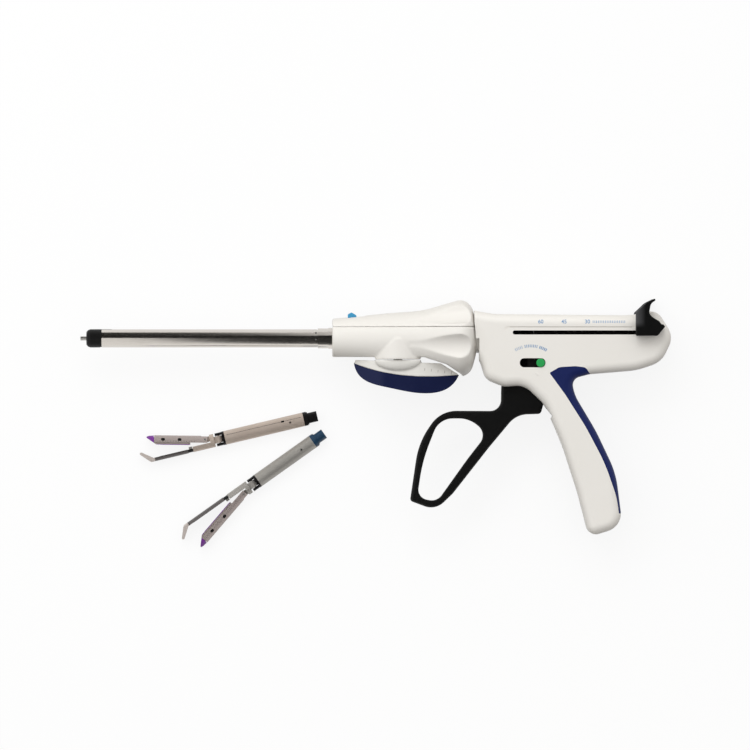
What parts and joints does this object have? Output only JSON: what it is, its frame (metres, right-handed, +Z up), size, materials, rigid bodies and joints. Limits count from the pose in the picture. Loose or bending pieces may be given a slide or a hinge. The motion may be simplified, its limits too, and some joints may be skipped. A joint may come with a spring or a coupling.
{
  "type": "endoscopic linear cutter stapler",
  "caption": "Hand-operated endoscopic linear stapler handle with ring trigger, rotation knob, articulation lever, steel shaft, and detachable loading units with opening jaws.",
  "frame": {"origin": "on the shaft's axis at the far end of its steel tube, where the black nose begins", "axes": "+X back along the shaft to the handle, +Y from the grip's end up to the body, +Z up from the table to the instrument's left side"},
  "size_m": [0.3865, 0.1629, 0.0499],
  "materials": {
    "ivory_shell": "satin moulded shell, warm white",
    "white_plastic": "moulded plastic, white",
    "navy_skin": "soft-touch skin, navy",
    "navy_plastic": "satin moulded plastic, navy",
    "black_plastic": "fine-grained moulded plastic, black",
    "green_button": "moulded plastic, green",
    "sky_button": "moulded plastic, light blue",
    "teal_plastic": "moulded plastic, dark blue",
    "purple_plastic": "moulded plastic, purple",
    "polished_tube": "polished stainless steel",
    "satin_tube": "brushed stainless steel",
    "dark_steel": "dark stainless steel",
    "steel_small": "machined steel"
  },
  "bodies": {
    "handle": {"left_housing": "ivory_shell", "right_housing": "ivory_shell", "grip_overmold": "navy_skin", "housing_screws": "steel_small", "trigger_pivot_pin": "steel_small", "locking_pawl_pin": "steel_small", "trigger_return_spring": "steel_small"},
    "trigger_body": {"trigger": "black_plastic", "drive_pawl_pin": "steel_small"},
    "drive_pawl_body": {"drive_pawl": "steel_small"},
    "locking_pawl_body": {"locking_pawl": "steel_small"},
    "rack": {"firing_rack": "dark_steel", "rod_coupler": "steel_small", "retraction_pin": "steel_small", "left_retraction_knob": "black_plastic", "right_retraction_knob": "black_plastic"},
    "selector": {"selector_slider": "black_plastic", "selector_button": "green_button"},
    "knob": {"knob_upper_half": "ivory_shell", "knob_lower_half": "ivory_shell", "knob_screws": "steel_small", "knob_bearing_sleeve": "white_plastic", "shaft_tube": "polished_tube", "shaft_ferrule": "polished_tube", "distal_collar": "black_plastic"},
    "lever": {"articulation_lever_cap": "white_plastic", "articulation_lever_wings": "navy_plastic", "lever_pivot_shaft": "steel_small", "articulation_cam": "white_plastic"},
    "link": {"articulation_link": "steel_small"},
    "unload": {"unload_button": "sky_button"},
    "rod": {"control_rod": "steel_small"},
    "upper_unit": {"upper_unit_hub": "black_plastic", "upper_unit_tube": "satin_tube", "upper_unit_articulation_fork": "dark_steel", "upper_unit_articulation_pin": "steel_small"},
    "upper_beam": {"upper_unit_drive_beam": "steel_small"},
    "upper_anvil_jaw": {"upper_unit_jaw_mount": "satin_tube", "upper_unit_jaw_pin": "steel_small", "upper_unit_anvil_clamp": "black_plastic", "upper_unit_anvil": "satin_tube"},
    "upper_cartridge_jaw": {"upper_unit_cartridge_channel": "satin_tube", "upper_unit_cartridge": "purple_plastic"},
    "upper_knife": {"upper_unit_knife": "steel_small"},
    "lower_unit": {"lower_unit_hub": "teal_plastic", "lower_unit_tube": "satin_tube", "lower_unit_articulation_fork": "dark_steel", "lower_unit_articulation_pin": "steel_small"},
    "lower_beam": {"lower_unit_drive_beam": "steel_small"},
    "lower_anvil_jaw": {"lower_unit_jaw_mount": "satin_tube", "lower_unit_jaw_pin": "steel_small", "lower_unit_anvil_clamp": "black_plastic", "lower_unit_anvil": "satin_tube"},
    "lower_cartridge_jaw": {"lower_unit_cartridge_channel": "satin_tube", "lower_unit_cartridge": "purple_plastic"},
    "lower_knife": {"lower_unit_knife": "steel_small"}
  },
  "joints": [
    {"name": "trigger_squeeze", "type": "hinge", "parent": "handle", "child": "trigger_body", "pos_m": [0.279, -0.025, 0], "axis": [0, 0, 1], "range_deg": [0, 32], "stiffness_Nm_per_rad": 0.25},
    {"name": "drive_pawl_tilt", "type": "hinge", "parent": "trigger_body", "child": "drive_pawl_body", "pos_m": [0.281, -0.0085, 0], "axis": [0, 0, 1], "range_deg": [0, 20], "stiffness_Nm_per_rad": 0.01},
    {"name": "locking_pawl_tilt", "type": "hinge", "parent": "handle", "child": "locking_pawl_body", "pos_m": [0.303, -0.0095, 0], "axis": [0, 0, 1], "range_deg": [0, 20], "stiffness_Nm_per_rad": 0.01},
    {"name": "rack_slide", "type": "slide", "parent": "handle", "child": "rack", "axis": [-1, 0, 0], "range_m": [0, 0.079]},
    {"name": "selector_slide", "type": "slide", "parent": "handle", "child": "selector", "axis": [-1, 0, 0], "range_m": [0, 0.0104]},
    {"name": "knob_turn", "type": "hinge", "parent": "handle", "child": "knob", "pos_m": [0.234, 0, 0], "axis": [1, 0, 0], "continuous": true},
    {"name": "lever_swing", "type": "hinge", "parent": "knob", "child": "lever", "pos_m": [0.194, -0.0142, 0], "axis": [0, 1, 0], "range_deg": [-45, 45]},
    {"name": "link_slide", "type": "slide", "parent": "knob", "child": "link", "axis": [1, 0, 0], "range_m": [-0.0043, 0.0043]},
    {"name": "unload_slide", "type": "slide", "parent": "knob", "child": "unload", "axis": [1, 0, 0], "range_m": [0, 0.005], "stiffness_N_per_m": 80},
    {"name": "rod_slide", "type": "slide", "parent": "knob", "child": "rod", "axis": [-1, 0, 0], "range_m": [0, 0.079]},
    {"name": "upper_unit_lift", "type": "slide", "parent": "handle", "child": "upper_unit", "axis": [0, 0, 1], "range_m": [0, 0.06]},
    {"name": "upper_articulation", "type": "hinge", "parent": "upper_unit", "child": "upper_anvil_jaw", "pos_m": [0.07665, -0.06621, -0.02044], "axis": [0.23, -0.9732, 0], "range_deg": [-45, 45]},
    {"name": "upper_jaw_close", "type": "hinge", "parent": "upper_anvil_jaw", "child": "upper_cartridge_jaw", "pos_m": [0.06732, -0.06639, -0.02044], "axis": [0, 0, 1], "range_deg": [0, 14]},
    {"name": "upper_knife_run", "type": "slide", "parent": "upper_anvil_jaw", "child": "upper_knife", "axis": [-0.9732, -0.23, 0], "range_m": [0, 0.01976]},
    {"name": "upper_beam_run", "type": "slide", "parent": "upper_unit", "child": "upper_beam", "axis": [-0.9732, -0.23, 0], "range_m": [0, 0.01976]},
    {"name": "lower_unit_lift", "type": "slide", "parent": "handle", "child": "lower_unit", "axis": [0, 0, 1], "range_m": [0, 0.06]},
    {"name": "lower_articulation", "type": "hinge", "parent": "lower_unit", "child": "lower_anvil_jaw", "pos_m": [0.09904, -0.09552, -0.02044], "axis": [-0.5793, 0.8151, 0], "range_deg": [-45, 45]},
    {"name": "lower_jaw_close", "type": "hinge", "parent": "lower_anvil_jaw", "child": "lower_cartridge_jaw", "pos_m": [0.09275, -0.10241, -0.02044], "axis": [0, 0, -1], "range_deg": [0, 14]},
    {"name": "lower_knife_run", "type": "slide", "parent": "lower_anvil_jaw", "child": "lower_knife", "axis": [-0.8151, -0.5793, 0], "range_m": [0, 0.01976]},
    {"name": "lower_beam_run", "type": "slide", "parent": "lower_unit", "child": "lower_beam", "axis": [-0.8151, -0.5793, 0], "range_m": [0, 0.01976]}
  ],
  "couplings": [
    {"joint": "link_slide", "follows": "lever_swing", "m_per_rad": 0.0054},
    {"joint": "rod_slide", "follows": "rack_slide", "ratio": 1},
    {"joint": "upper_knife_run", "follows": "upper_beam_run", "ratio": 1},
    {"joint": "lower_knife_run", "follows": "lower_beam_run", "ratio": 1}
  ]
}
